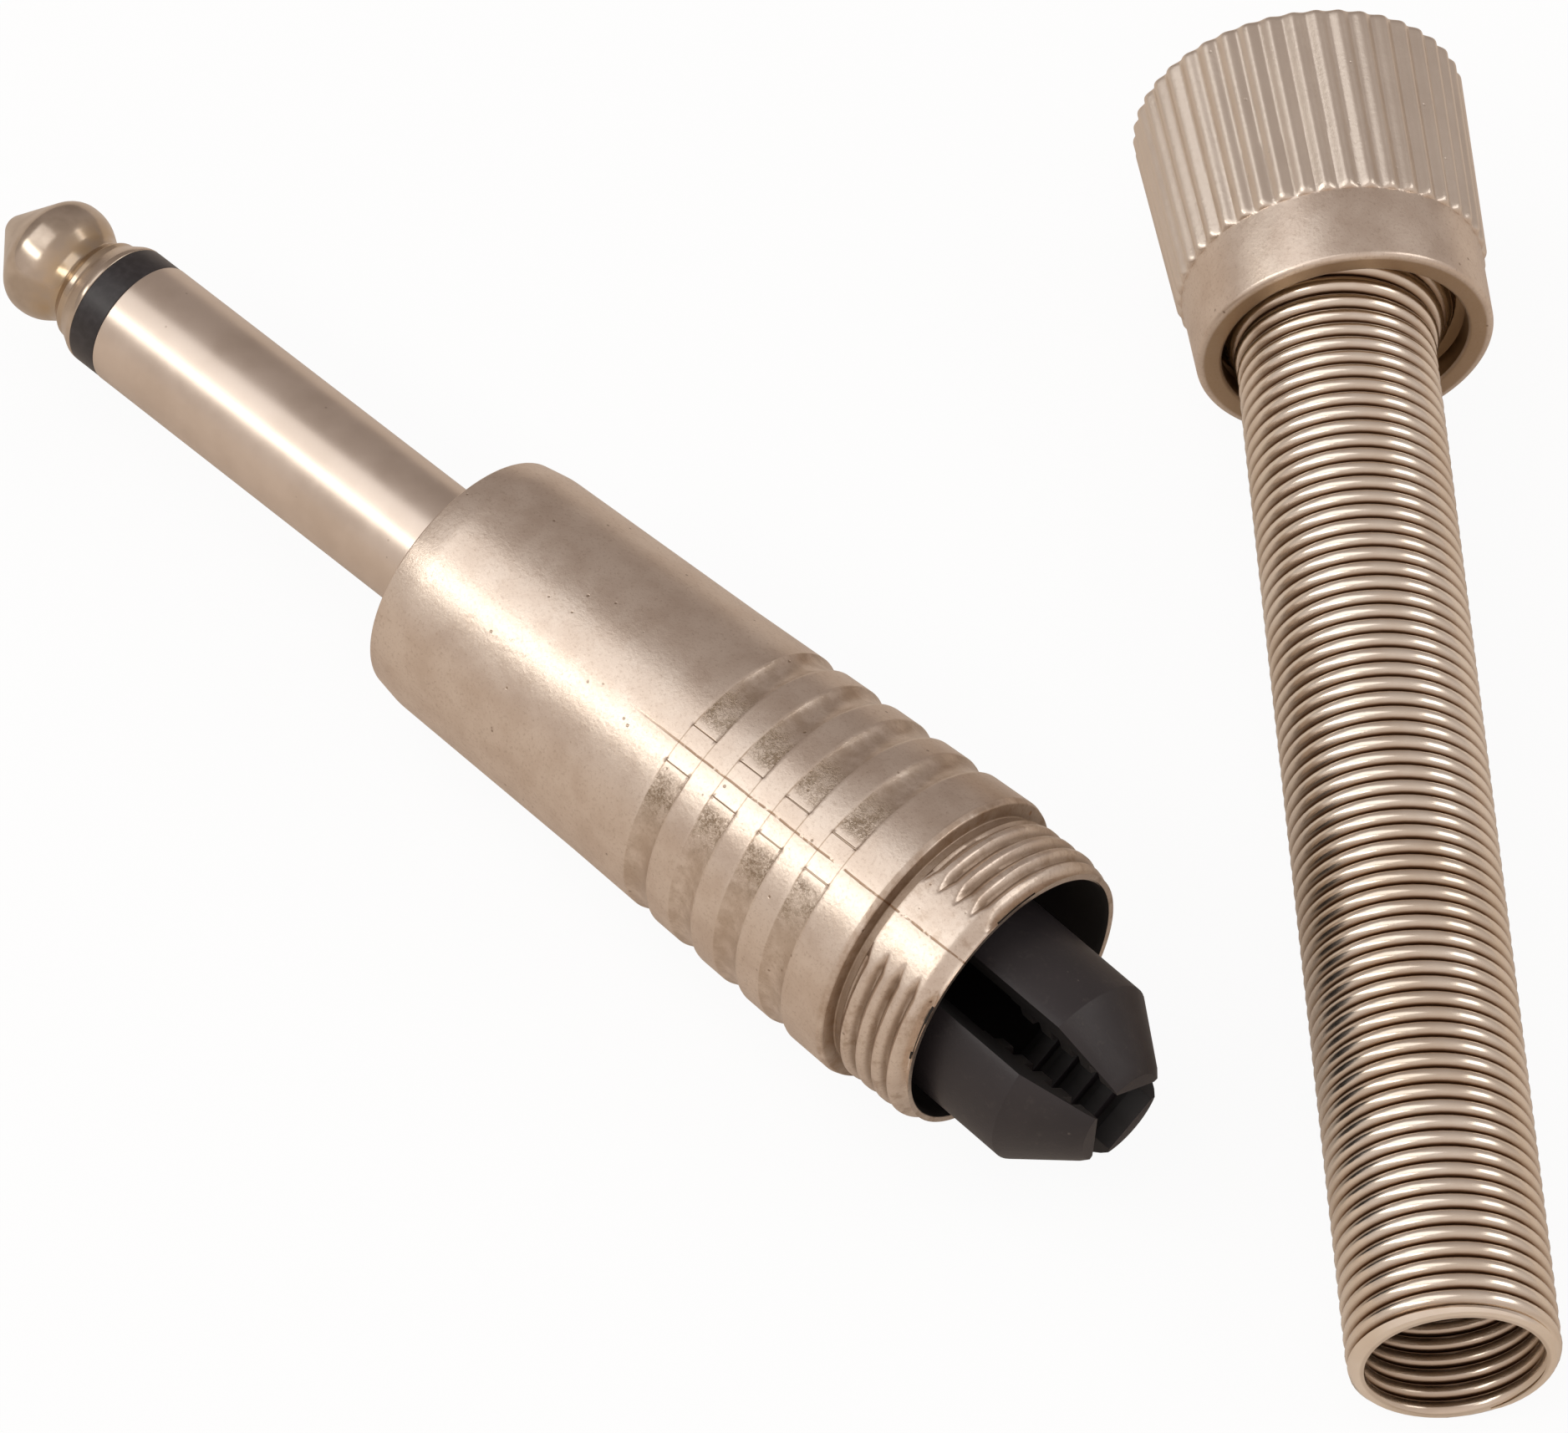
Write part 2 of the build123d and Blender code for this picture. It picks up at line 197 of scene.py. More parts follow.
def soft_box(name, direction, distance, long_side, length, width, brightness, colour):
    lamp = bpy.data.lights.new(name, "AREA")
    lamp.shape = "RECTANGLE"
    lamp.size = length
    lamp.size_y = width
    lamp.energy = brightness * math.pi * length * width
    lamp.color = colour
    box = bpy.data.objects.new(name, lamp)
    bpy.context.collection.objects.link(box)
    away = Vector(direction).normalized()
    across = away.cross(Vector(long_side)).normalized()
    turn = Matrix((across.cross(away), across, away)).transposed().to_4x4()
    box.matrix_world = Matrix.Translation(camera_aim * MM + away * distance) @ turn


soft_box("front_box", (-0.39, -0.66, 0.64), 0.8, (1, 0, 0), 0.9, 0.17, 3.2, (1.0, 0.99, 0.95))
soft_box("overhead_box", (-0.39, -0.25, 0.92), 0.8, (1, 0, 0), 0.8, 0.45, 0.78, (0.98, 0.99, 1.0))
soft_box("right_box", (0.5, 0.5, 0.63), 0.8, (1, -1, 0), 0.5, 0.30, 1.6, (1.0, 0.99, 0.97))


# Sleeve: the long contact of the finger, turned from brass tube and nickel-plated smooth. Its
# rear end is opened into a flange and riveted inside the shell. A turned piece is an outline
# of stations and radii, each corner with its own rounding, spun round the axis.
def place(origin, direction):
    along = Vector(direction).normalized()
    level = Vector((-along.y, along.x, 0)).normalized()
    up = along.cross(level)
    turn = Matrix((along, level, up)).transposed().to_4x4()
    return Matrix.Translation(Vector(origin) * MM) @ turn @ Matrix.Scale(MM, 4)


def rounded(corners, arc_steps=6):
    points = []
    count = len(corners)
    for i, (station, radius, rounding) in enumerate(corners):
        corner = Vector((station, radius))
        if not rounding:
            points.append(corner)
            continue
        back = (Vector(corners[i - 1][:2]) - corner).normalized()
        ahead = (Vector(corners[(i + 1) % count][:2]) - corner).normalized()
        half = back.angle(ahead) / 2
        reach = rounding / math.tan(half)
        centre = corner + (back + ahead).normalized() * rounding / math.sin(half)
        start = corner + back * reach - centre
        end = corner + ahead * reach - centre
        sweep = start.angle_signed(end)
        for k in range(arc_steps + 1):
            points.append(centre + Matrix.Rotation(-sweep * k / arc_steps, 2) @ start)
    return points


def ring_of(bm, points):
    verts = [bm.verts.new((point.x, 0, point.y)) for point in points]
    return [bm.edges.new((verts[i], verts[i - 1])) for i in range(len(verts))]


def finish_mesh(bm, matrix):
    bmesh.ops.remove_doubles(bm, verts=bm.verts, dist=0.002)
    bmesh.ops.recalc_face_normals(bm, faces=bm.faces)
    bm.transform(matrix)


def turned(corners, matrix, steps=128):
    bm = bmesh.new()
    edges = ring_of(bm, rounded(corners))
    bmesh.ops.spin(
        bm,
        geom=edges,
        cent=(0, 0, 0),
        axis=(1, 0, 0),
        angle=math.tau,
        steps=steps,
        use_merge=True,
    )
    finish_mesh(bm, matrix)
    return bm


def crease(piece, angle=40):
    for polygon in piece.data.polygons:
        polygon.use_smooth = True
    piece.data.set_sharp_from_angle(angle=math.radians(angle))


# Where a point lies on a piece, in millimetres along and across the piece's own axis
def own_place(tree, matrix):
    where = add_node(tree, "ShaderNodeTexCoord", {}, {}).part("Object")
    values = {
        "Vector": where,
        "Location": matrix.to_translation(),
        "Rotation": matrix.to_euler(),
        "Scale": (MM, MM, MM),
    }
    return add_node(tree, "ShaderNodeMapping", {"vector_type": "TEXTURE"}, values)


def noise(tree, where, size, detail=4.0, rough=0.5):
    values = {"Vector": where, "Scale": 1 / size, "Detail": detail, "Roughness": rough}
    return add_node(tree, "ShaderNodeTexNoise", {}, values)


def stretched(tree, where, factors):
    settings = {"operation": "MULTIPLY"}
    return add_node(tree, "ShaderNodeVectorMath", settings, {0: where, 1: factors})


def specks(tree, where, size, reach, share):
    cells = add_node(tree, "ShaderNodeTexVoronoi", {}, {"Vector": where, "Scale": 1 / size})
    here = noise(tree, where, size * 2.3, 0.0).between(share, share + 0.05)
    return (1 - cells.between(reach * 0.5, reach)) * here


def relief(tree, height, depth):
    values = {"Height": height, "Strength": 1.0, "Distance": depth}
    return add_node(tree, "ShaderNodeBump", {}, values)


plug_place = place((0, 0, 0), (0.999422, 0, 0.034009))
finger_radius = 3.175
ring_front = -23.45
ring_back = -21.85
sleeve_bore = 2.355
shoulder_radius = 3.45
flange_front = 3.0
flange_rear = 4.2
flange_radius = 5.0
rivet_radius = 2.9
rivet_rear = 5.0
smooth_nickel, tree = new_finish("smooth_nickel")
where = own_place(tree, plug_place)
haze = noise(tree, where, 2.4)
lathe_lines = noise(tree, stretched(tree, where, (9.0, 0.35, 0.35)), 1.0, 3.0)
dots = specks(tree, where, 0.8, 0.10, 0.62)
tint = mixed(tree, haze.between(0.3, 0.7), (0.70, 0.605, 0.52, 1), (0.77, 0.675, 0.59, 1))
tint = mixed(tree, dots * 0.4, tint, (0.30, 0.22, 0.16, 1))
gloss = haze.between(0.3, 0.7) * 0.05 + lathe_lines * 0.04 + 0.27
grooves = relief(tree, lathe_lines - dots, 0.0000008)
surface(tree, {"Base Color": tint, "Metallic": 1.0, "Roughness": gloss, "Normal": grooves})
sleeve = new_object(
    "sleeve",
    turned(
        [
            (ring_back, sleeve_bore, 0),
            (ring_back, finger_radius, 0.06),
            (0, finger_radius, 0),
            (0, shoulder_radius, 0),
            (flange_front, shoulder_radius, 0),
            (flange_front, flange_radius, 0.1),
            (flange_rear, flange_radius, 0.1),
            (flange_rear, rivet_radius, 0),
            (rivet_rear, rivet_radius, 0.25),
            (rivet_rear, sleeve_bore, 0),
        ],
        plug_place,
    ),
    [smooth_nickel],
)
crease(sleeve)
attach(sleeve, "plug_body")
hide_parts("sleeve_contact")

# Tip: the point, ball and groove of the front contact, turned from brass bar and plated. It is
# riveted on the end of the centre rod. Its nickel is painted darker than the sleeve's and
# yellow-brown in patches round the groove, a painted reflection of dark surroundings in its
# curves.
nose = -30.8
groove_middle = -25.5
socket_radius = 1.0
socket_depth = 3.6
painted_dark_nickel, tree = new_finish("painted_dark_nickel")
where = own_place(tree, plug_place)
haze = noise(tree, where, 1.3)
station = add_node(tree, "ShaderNodeSeparateXYZ", {}, {"Vector": where}).part("X")
groove = 1 - (station - groove_middle).size().between(0.3, 1.6)
# Painted darker than the sleeve's nickel, and yellow-brown in patches round the groove: painted
# reflections of dark surroundings.
tint = mixed(tree, haze.between(0.3, 0.7), (0.50, 0.42, 0.34, 1), (0.64, 0.55, 0.46, 1))
tint = mixed(tree, groove * haze.between(0.25, 0.6) * 0.7, tint, (0.50, 0.36, 0.20, 1))
gloss = haze * 0.08 + 0.17
grooves = relief(tree, haze, 0.000012)
surface(tree, {"Base Color": tint, "Metallic": 1.0, "Roughness": gloss, "Normal": grooves})
tip = new_object(
    "tip",
    turned(
        [
            (nose, 0, 0),
            (nose, 0.46, 0.36),
            (-28.2, 3.02, 1.3),
            (-26.95, 3.0, 2.0),
            (-25.85, 2.34, 0.9),
            (-25.3, 2.34, 0.5),
            (-24.85, 2.66, 0.2),
            (-24.5, 2.70, 0.5),
            (-23.75, 3.12, 0.6),
            (ring_front, finger_radius, 0.08),
            (ring_front, socket_radius, 0),
            (ring_front - socket_depth, socket_radius, 0),
            (ring_front - socket_depth, 0, 0),
        ],
        plug_place,
    ),
    [painted_dark_nickel],
)
crease(tip)
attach(tip, "plug_body")
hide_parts("tip_contact")

# Insulators: black moulded rings on the centre rod. The front one shows between the tip and
# the sleeve, the others keep the rod off the sleeve and the lugs apart.
ring_bore = 1.05
ring_radius = 3.16
black_plastic, tree = new_finish("black_plastic")
where = own_place(tree, plug_place)
grain = noise(tree, where, 0.35, 3.0)
tint = mixed(tree, grain.between(0.35, 0.75), (0.018, 0.016, 0.018, 1), (0.032, 0.029, 0.032, 1))
surface(
    tree,
    {
        "Base Color": tint,
        "Roughness": grain * 0.12 + 0.34,
        "Normal": relief(tree, grain, 0.000004),
    },
)
tip_ring = new_object(
    "tip_ring",
    turned(
        [
            (ring_front, ring_bore, 0),
            (ring_front, ring_radius, 0.05),
            (ring_back, ring_radius, 0.05),
            (ring_back, ring_bore, 0),
        ],
        plug_place,
    ),
    [black_plastic],
)
crease(tip_ring)
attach(tip_ring, "plug_body")
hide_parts("tip_insulator")

# Shell: a plated zinc casting. Rows of shallow scallops with square ends grip the fingers,
# and the cable end has a cast thread. Both stop at the smooth strips over the parting line.
front_radius = 6.27
front_taper = 1.5
body_radius = 6.53
shell_waist = 13.0
shell_waist_radius = 6.84
collar_station = 29.6
collar_radius = 7.5
groove_station = 30.0
groove_radius = 6.72
thread_root_station = 30.5
mouth_station = 34.5
mouth_radius = 6.7
shell_bore = 6.3
front_wall = 3.0
finger_hole = 3.5
lug_room_radius = 5.7
lug_room_end = 14.4
guide_bore = 6.25
thread_crest = 7.1
thread_depth = 0.42
thread_pitch = 0.95
thread_taper = 1.0
land_half = 13.0
land_fade = 9.0
land_drop = 0.04
thread_rows = 57
thread_row_gap = 0.07
grip_start = 15.4
grip_end = 27.9
grip_radius = 7.2
skin_rows = 126
skin_row_gap = 0.1
strip_half_width = 1.0
strip_half = math.degrees(strip_half_width / grip_radius)
parting_roll = 30.6
scallop_count = 4
scallop_start = 17.85
scallop_pitch = 2.92
scallop_width = 1.5
scallop_depth = 0.26
scallop_fade = 45
panel_step = 0.05
wall_turn = 0.35
strip_steps = 8
grip_steps = 120


def shell_skin(station):
    share = (station - shell_waist) / (collar_station - shell_waist)
    return shell_waist_radius + max(share, 0) * (collar_radius - shell_waist_radius)


def smooth_step(share):
    share = min(1.0, max(0.0, share))
    return share * share * (3 - 2 * share)


skin_stations = [i * skin_row_gap + grip_start for i in range(skin_rows)]
skin = [Vector((station, shell_skin(station))) for station in skin_stations]
thread_stations = [thread_root_station + i * thread_row_gap for i in range(thread_rows)]
thread = [Vector((station, thread_crest)) for station in thread_stations]
shell_outline = (
    rounded(
        [
            (0, finger_hole, 0),
            (0, front_radius, 0.12),
            (front_taper, body_radius, 4.0),
            (shell_waist, shell_waist_radius, 30.0),
            (grip_start, shell_skin(grip_start), 0),
        ]
    )[:-1]
    + skin
    + rounded(
        [
            (grip_end, shell_skin(grip_end), 0),
            (collar_station, collar_radius, 0.15),
            (groove_station - 0.1, collar_radius - 0.1, 0.12),
            (groove_station, groove_radius, 0.08),
            (thread_root_station - 0.1, groove_radius, 0.08),
            (thread_root_station, thread_crest, 0),
        ]
    )[1:-1]
    + thread
    + rounded(
        [
            (mouth_station - 0.06, thread_crest, 0),
            (mouth_station, mouth_radius, 0.06),
            (mouth_station, shell_bore + 0.15, 0.06),
            (mouth_station - 0.3, shell_bore, 0),
            (lug_room_end, guide_bore, 0),
            (lug_room_end, lug_room_radius, 0),
            (front_wall, lug_room_radius, 0),
            (front_wall, finger_hole, 0),
        ]
    )[1:]
)
bm = bmesh.new()
edges = ring_of(bm, shell_outline)
turn_start = Matrix.Rotation(math.radians(parting_roll - strip_half), 3, "X")
bmesh.ops.rotate(bm, verts=bm.verts, cent=(0, 0, 0), matrix=turn_start)
for side in range(2):
    for turn, steps in (
        (2 * strip_half, strip_steps),
        (wall_turn, 1),
        (180 - 2 * strip_half - 2 * wall_turn, grip_steps),
        (wall_turn, 1),
    ):
        swept = bmesh.ops.spin(
            bm,
            geom=edges,
            cent=(0, 0, 0),
            axis=(1, 0, 0),
            angle=math.radians(turn),
            steps=steps,
        )
        edges = [part for part in swept["geom_last"] if isinstance(part, bmesh.types.BMEdge)]
bmesh.ops.remove_doubles(bm, verts=bm.verts, dist=0.002)
grip_arc_radius = ((scallop_width / 2) ** 2 + scallop_depth**2) / (2 * scallop_depth)
for vert in bm.verts:
    station = vert.co.x
    radius = math.hypot(vert.co.y, vert.co.z)
    roll = math.degrees(math.atan2(-vert.co.y, vert.co.z)) - parting_roll
    from_strip = abs((roll + 90) % 180 - 90)
    drop = 0.0
    nearest = round((station - scallop_start) / scallop_pitch)
    offset = abs(station - scallop_start - nearest * scallop_pitch)
    if radius > shell_bore + 0.3 and 0 <= nearest < scallop_count and offset < scallop_width / 2:
        if from_strip > strip_half + wall_turn / 2:
            from_end = smooth_step((from_strip - strip_half) / scallop_fade)
            level = math.sqrt(grip_arc_radius**2 - offset**2)
            full = level - (grip_arc_radius - scallop_depth)
            drop = panel_step + (full - panel_step) * from_end
    if radius > thread_crest - 0.05 and station > thread_root_station - 0.01:
        share = min(1.0, max(0.0, (from_strip - land_half) / land_fade))
        phase = (station - thread_root_station) / thread_pitch + roll / 360
        wave = (0.5 - 0.5 * math.cos(math.tau * phase)) ** 0.7
        drop = thread_depth * max(0.0, share - wave)
        taper = smooth_step((station - mouth_station + thread_taper) / thread_taper)
        drop = max(drop, land_drop) + (thread_crest - mouth_radius) * taper
    if drop:
        scale = (radius - drop) / radius
        vert.co.y *= scale
        vert.co.z *= scale
# Bore faces behind the front wall take the second finish, a near-black painted shade inside the
# shell.
for face in bm.faces:
    middle = face.calc_center_median()
    if math.hypot(middle.y, middle.z) < shell_bore + 0.1 and middle.x > front_wall + 0.5:
        face.material_index = 1
finish_mesh(bm, plug_place)


def plated_casting(name, matrix):
    finish, tree = new_finish(name)
    where = own_place(tree, matrix)
    sand = noise(tree, where, 0.16, 4.0, 0.7)
    crinkle = noise(tree, where, 0.34, 3.0, 0.6)
    cloud = noise(tree, where, 2.2, 6.0, 0.6)
    pits = specks(tree, where, 0.8, 0.12, 0.57)
    tint = mixed(tree, cloud.between(0.32, 0.66), (0.69, 0.585, 0.495, 1), (0.78, 0.685, 0.595, 1))
    tint = mixed(tree, sand.between(0.50, 0.72) * 0.42, tint, (0.44, 0.34, 0.26, 1))
    tint = mixed(tree, pits * 0.7, tint, (0.26, 0.18, 0.12, 1))
    gloss = cloud.between(0.3, 0.7) * 0.06 + sand * 0.14 + 0.24
    height = sand * 1.2 + crinkle * 1.5 - pits * 2
    return finish, tree, where, tint, gloss, height


# Distances along a piece's own axis, level across it and square to both
def axis_parts(tree, where):
    axes = add_node(tree, "ShaderNodeSeparateXYZ", {}, {"Vector": where})
    return axes.part("X"), axes.part("Y"), axes.part("Z")


shell_nickel, tree, where, tint, gloss, height = plated_casting("cast_shell_nickel", plug_place)
station, across, upward = axis_parts(tree, where)
radius = station.maths("SQRT", across * across + upward * upward)
strip_roll = math.radians(parting_roll)
off_line = across * math.cos(strip_roll) + upward * math.sin(strip_roll)
from_line = off_line.size()

# Each scallop starts flat at a square end with a fine outline, a painted shade of the step's edge.
# A little way round, the scallop is painted a speckled brown, a painted shade of its curve with a
# sandy grain. The outlines of the bands also cross the strip, faintly, as painted shade lines too.
half_pitch = scallop_pitch / 2
grip_last = scallop_start + (scallop_count - 1) * scallop_pitch
in_grip = station.between(scallop_start - half_pitch, scallop_start - half_pitch + 0.1)
in_grip = in_grip * (1 - station.between(grip_last + half_pitch - 0.1, grip_last + half_pitch))
band = (station - scallop_start) / scallop_pitch
offset = (band.maths("FRACT", band + 0.5) - 0.5).size() * scallop_pitch
in_band = in_grip * (1 - offset.between(scallop_width / 2 - 0.06, scallop_width / 2 + 0.02))
speckle = noise(tree, where, 0.14, 4.0, 0.75).between(0.38, 0.60)
blotch = noise(tree, where, 0.9, 4.0, 0.6).between(0.30, 0.62)
# Painted shade of each scallop's curve, speckled, starting a little way round from its square end.
speckled_shade = in_band * from_line.between(1.05, 1.8) * (1 - from_line.between(2.3, 4.3))
speckled_shade = speckled_shade * (speckle * 0.7 + 0.3) * (blotch * 0.6 + 0.4)
# Painted shade deep in the scallop hollows, in blotches.
scallop_hollow_shade = in_band * from_line.between(1.6, 3.4) * blotch
# Painted dark lines along the panel steps' edges: painted shade, with a fine groove in the bumps.
end_line = (1 - (from_line - strip_half_width).size().between(0.01, 0.05)) * in_band
side_line = (1 - (offset - scallop_width / 2).size().between(0.01, 0.05)) * in_grip
side_line = side_line * (1 - from_line.between(1.4, 2.4))
wander = (noise(tree, where, 1.6, 3.0) - 0.5) * 0.12
broken = noise(tree, where, 0.7, 3.0, 0.7).between(0.36, 0.50)
seam = (1 - (off_line + wander).size().between(0.02, 0.07)) * broken
seam = seam * station.between(shell_waist, 18.0)
rust = specks(tree, where, 1.7, 0.10, 0.60)
# Painted shade in the narrow groove behind the collar.
groove_shade = station.between(groove_station - 0.2, groove_station)
groove_shade = groove_shade * (1 - station.between(thread_root_station - 0.1, thread_root_station + 0.15))
# Patchy brown over the collar's rear edge where it falls into the groove: a thin band along the
# edge and blotches behind it.
rim = (1 - (station - collar_station - 0.2).size().between(0.05, 0.35)) * blotch
# Painted shade in the thread's valleys, fading out before the mouth.
thread_valley_shade = (1 - radius.between(6.74, 6.99)) * (1 - station.between(33.5, 33.9))
thread_valley_shade = thread_valley_shade * station.between(thread_root_station, thread_root_station + 0.2)
collar_patches = noise(tree, where, 0.9, 5.0, 0.65).between(0.48, 0.72)
collar_patches = collar_patches * station.between(collar_station, collar_station + 0.6)
tint = mixed(tree, collar_patches * 0.5 + rim * 0.5, tint, (0.36, 0.24, 0.15, 1))
tint = mixed(tree, (groove_shade + thread_valley_shade) * 0.6, tint, (0.24, 0.16, 0.10, 1))
tint = mixed(tree, scallop_hollow_shade * 0.4, tint, (0.36, 0.26, 0.17, 1))
tint = mixed(tree, speckled_shade * 0.8, tint, (0.25, 0.18, 0.11, 1))
tint = mixed(tree, (end_line + side_line) * 0.55, tint, (0.28, 0.18, 0.10, 1))
tint = mixed(tree, rust * 0.7, tint, (0.34, 0.18, 0.09, 1))
tint = mixed(tree, seam * 0.8, tint, (0.26, 0.15, 0.08, 1))
gloss = gloss + speckled_shade * 0.12 + (groove_shade + thread_valley_shade) * 0.15
bumps = relief(tree, height - speckle * speckled_shade * 2 - end_line * 2 - seam * 2, 0.000007)
surface(tree, {"Base Color": tint, "Metallic": 1.0, "Roughness": gloss, "Normal": bumps})
# Near-black finish for the bore: painted shade inside the shell.
bore_shade, tree = new_finish("bore_shade")
surface(tree, {"Base Color": (0.016, 0.014, 0.013, 1), "Roughness": 0.7})
shell = new_object("cast_shell", bm, [shell_nickel, bore_shade])
crease(shell, 35)
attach(shell, "plug_body")
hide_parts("shell")

# Nut: a plated casting with forty-four ribs that end on a plain band. Its lip holds the
# spring's flare, and the wide end is threaded for the shell.
nut_place = place((19.25, 39.53, 0.79254), (-0.78346, 0.61874, 0.0579))
nut_length = 14.2
band_length = 3.9
lip_radius = 7.14
lip_hole = 5.92
lip_thickness = 1.2
flare_room_radius = 6.75
nut_thread_start = 7.8
nut_thread_bore = 7.16
nut_rim_radius = 7.45
rib_blank_radius = 7.2
end_taper_start = 13.9
end_taper_length = 0.3
end_taper_depth = 0.15
band_end_radius = 7.26
rib_end_radius = 8.09
rib_count = 44
rib_height = 0.25
rib_turn = 360 / rib_count
rib_steps = 12
rib_nose_length = 0.35
rib_tail_length = 0.45
rib_stations = [3.3, 3.6, 3.8, 3.9, 3.93, 3.97, 4.02, 4.08, 4.16, 4.25]
rib_stations += [4.6 + i * 0.6 for i in range(15)]
rib_stations += [13.3, 13.6, 13.76, 13.88, 13.97, 14.04, 14.1, 14.15]
nut_outline = rounded(
    [
        (nut_length, nut_rim_radius, 0),
        (nut_length, nut_thread_bore, 0.1),
        (nut_thread_start, nut_thread_bore, 0),
        (nut_thread_start, flare_room_radius, 0),
        (lip_thickness, flare_room_radius, 0),
        (lip_thickness, lip_hole, 0.1),
        (0, lip_hole, 0.2),
        (0, lip_radius, 0.24),
        (band_length, band_end_radius, 0),
    ]
)[:-1] + [Vector((station, rib_blank_radius)) for station in rib_stations]


def nut_root(station):
    if station < band_length:
        return lip_radius + (band_end_radius - lip_radius) * station / band_length
    share = (station - band_length) / (nut_length - band_length)
    root = band_end_radius + share * (rib_end_radius - rib_height - band_end_radius)
    return root - end_taper_depth * max(0.0, (station - end_taper_start) / end_taper_length) ** 2


bm = bmesh.new()
edges = ring_of(bm, nut_outline)
bmesh.ops.spin(
    bm,
    geom=edges,
    cent=(0, 0, 0),
    axis=(1, 0, 0),
    angle=math.radians(rib_turn),
    steps=rib_steps,
)
one_rib = bm.verts[:] + bm.edges[:] + bm.faces[:]
for i in range(1, rib_count):
    copied = bmesh.ops.duplicate(bm, geom=one_rib)["geom"]
    rib_verts = [part for part in copied if isinstance(part, bmesh.types.BMVert)]
    turn = Matrix.Rotation(math.radians(i * rib_turn), 3, "X")
    bmesh.ops.rotate(bm, verts=rib_verts, cent=(0, 0, 0), matrix=turn)
bmesh.ops.remove_doubles(bm, verts=bm.verts, dist=0.002)
for vert in bm.verts:
    station = vert.co.x
    radius = math.hypot(vert.co.y, vert.co.z)
    if radius < rib_blank_radius - 0.03:
        continue
    if station < rib_stations[0] - 0.01 or station > nut_length - 0.02:
        continue
    turn = math.atan2(-vert.co.y, vert.co.z) / math.radians(rib_turn)
    height = rib_height * (0.5 + 0.5 * math.cos(math.tau * turn)) ** 0.8
    before = min(1.0, max(0.0, 1 - (station - band_length) / rib_nose_length))
    beyond = min(1.0, max(0.0, (station - nut_length) / rib_tail_length + 1))
    height *= math.sqrt(1 - before * before) * math.sqrt(1 - beyond * beyond)
    new_radius = nut_root(station) + height
    vert.co.y *= new_radius / radius
    vert.co.z *= new_radius / radius
# Faces inside the nut, on the thread's step and round the flare's room, take the second finish, a
# darker brown nickel that is painted shade.
for face in bm.faces:
    middle = face.calc_center_median()
    reach = math.hypot(middle.y, middle.z)
    on_step = middle.x > band_length and reach < nut_thread_bore - 0.06
    in_room = middle.x > 0.15 and reach < flare_room_radius + 0.15
    if on_step or in_room:
        face.material_index = 1
finish_mesh(bm, nut_place)
nut_nickel, tree, where, tint, gloss, height = plated_casting("cast_nut_nickel", nut_place)
station, across, upward = axis_parts(tree, where)
radius = station.maths("SQRT", across * across + upward * upward)
# The lip's flat face is painted brown, a painted reflection of the spring's brown wire and the
# dark hole.
lip = (1 - station.between(0.02, 0.12)) * (1 - radius.between(6.72, 6.9))
# The ribbed part is painted paler and less brown than the band, a painted light on the ribs.
ribs = station.between(band_length, band_length + 0.2)
tint = mixed(tree, ribs * 0.85, tint, (0.98, 0.93, 0.86, 1))
tint = mixed(tree, ribs * 0.4, tint, (0.50, 0.39, 0.29, 1))
tint = mixed(tree, lip * 0.8, tint, (0.38, 0.26, 0.15, 1))
bumps = relief(tree, height, 0.000006)
surface(tree, {"Base Color": tint, "Metallic": 1.0, "Roughness": gloss, "Normal": bumps})
# A darker, browner copy of the nut's nickel for its inner faces: painted shade inside the nut.
nut_inside, tree = new_finish("nut_inside")
haze = noise(tree, own_place(tree, nut_place), 1.5)
tint = mixed(tree, haze, (0.28, 0.18, 0.09, 1), (0.46, 0.33, 0.20, 1))
surface(tree, {"Base Color": tint, "Metallic": 1.0, "Roughness": haze * 0.2 + 0.3})
nut = new_object("ribbed_nut", bm, [nut_nickel, nut_inside])
crease(nut, 35)
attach(nut, "plug_body")
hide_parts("nut")

# Spring: close turns of plated steel wire that keep the cable from kinking. The last turns
# open out inside the nut, so that it can't be pulled through.
spring_place = place((60.22761, 1.30425, -1.71902), (-0.73613, 0.67572, 0.03905))
spring_length = 59.7
spring_radius = 4.77
wire_radius = 0.4
coil_radius = spring_radius - wire_radius
coil_turns = 73
ground_away = 0.39
coil_pitch = (spring_length - wire_radius + ground_away) / coil_turns
wire_end_roll = 152
steps_per_turn = 56
wire_sides = 12
flare_turns = 5.4
flare_rise = 3.4
flare_radius = 6.02
flare_growth = flare_radius - spring_radius
end_chamfer = 0.29
bm = bmesh.new()
bmesh.ops.create_circle(bm, segments=wire_sides, radius=wire_radius, cap_ends=False)
quarter_turn = Matrix.Rotation(math.radians(90), 3, "X")
bmesh.ops.rotate(bm, verts=bm.verts, cent=(0, 0, 0), matrix=quarter_turn)
bmesh.ops.translate(bm, verts=bm.verts, vec=(0, 0, coil_radius))
end_turn = Matrix.Rotation(math.radians(wire_end_roll), 3, "X")
bmesh.ops.rotate(bm, verts=bm.verts, cent=(0, 0, 0), matrix=end_turn)
bmesh.ops.spin(
    bm,
    geom=bm.edges[:],
    cent=(0, 0, 0),
    axis=(1, 0, 0),
    dvec=(coil_pitch / steps_per_turn, 0, 0),
    angle=-math.tau,
    steps=steps_per_turn,
)
one_turn = bm.verts[:] + bm.edges[:] + bm.faces[:]
for i in range(1, coil_turns):
    copied = bmesh.ops.duplicate(bm, geom=one_turn)["geom"]
    turn_verts = [part for part in copied if isinstance(part, bmesh.types.BMVert)]
    bmesh.ops.translate(bm, verts=turn_verts, vec=(i * coil_pitch, 0, 0))
bmesh.ops.remove_doubles(bm, verts=bm.verts, dist=0.002)
bmesh.ops.holes_fill(bm, edges=bm.edges, sides=wire_sides)
flare_start = (coil_turns - flare_turns) * coil_pitch
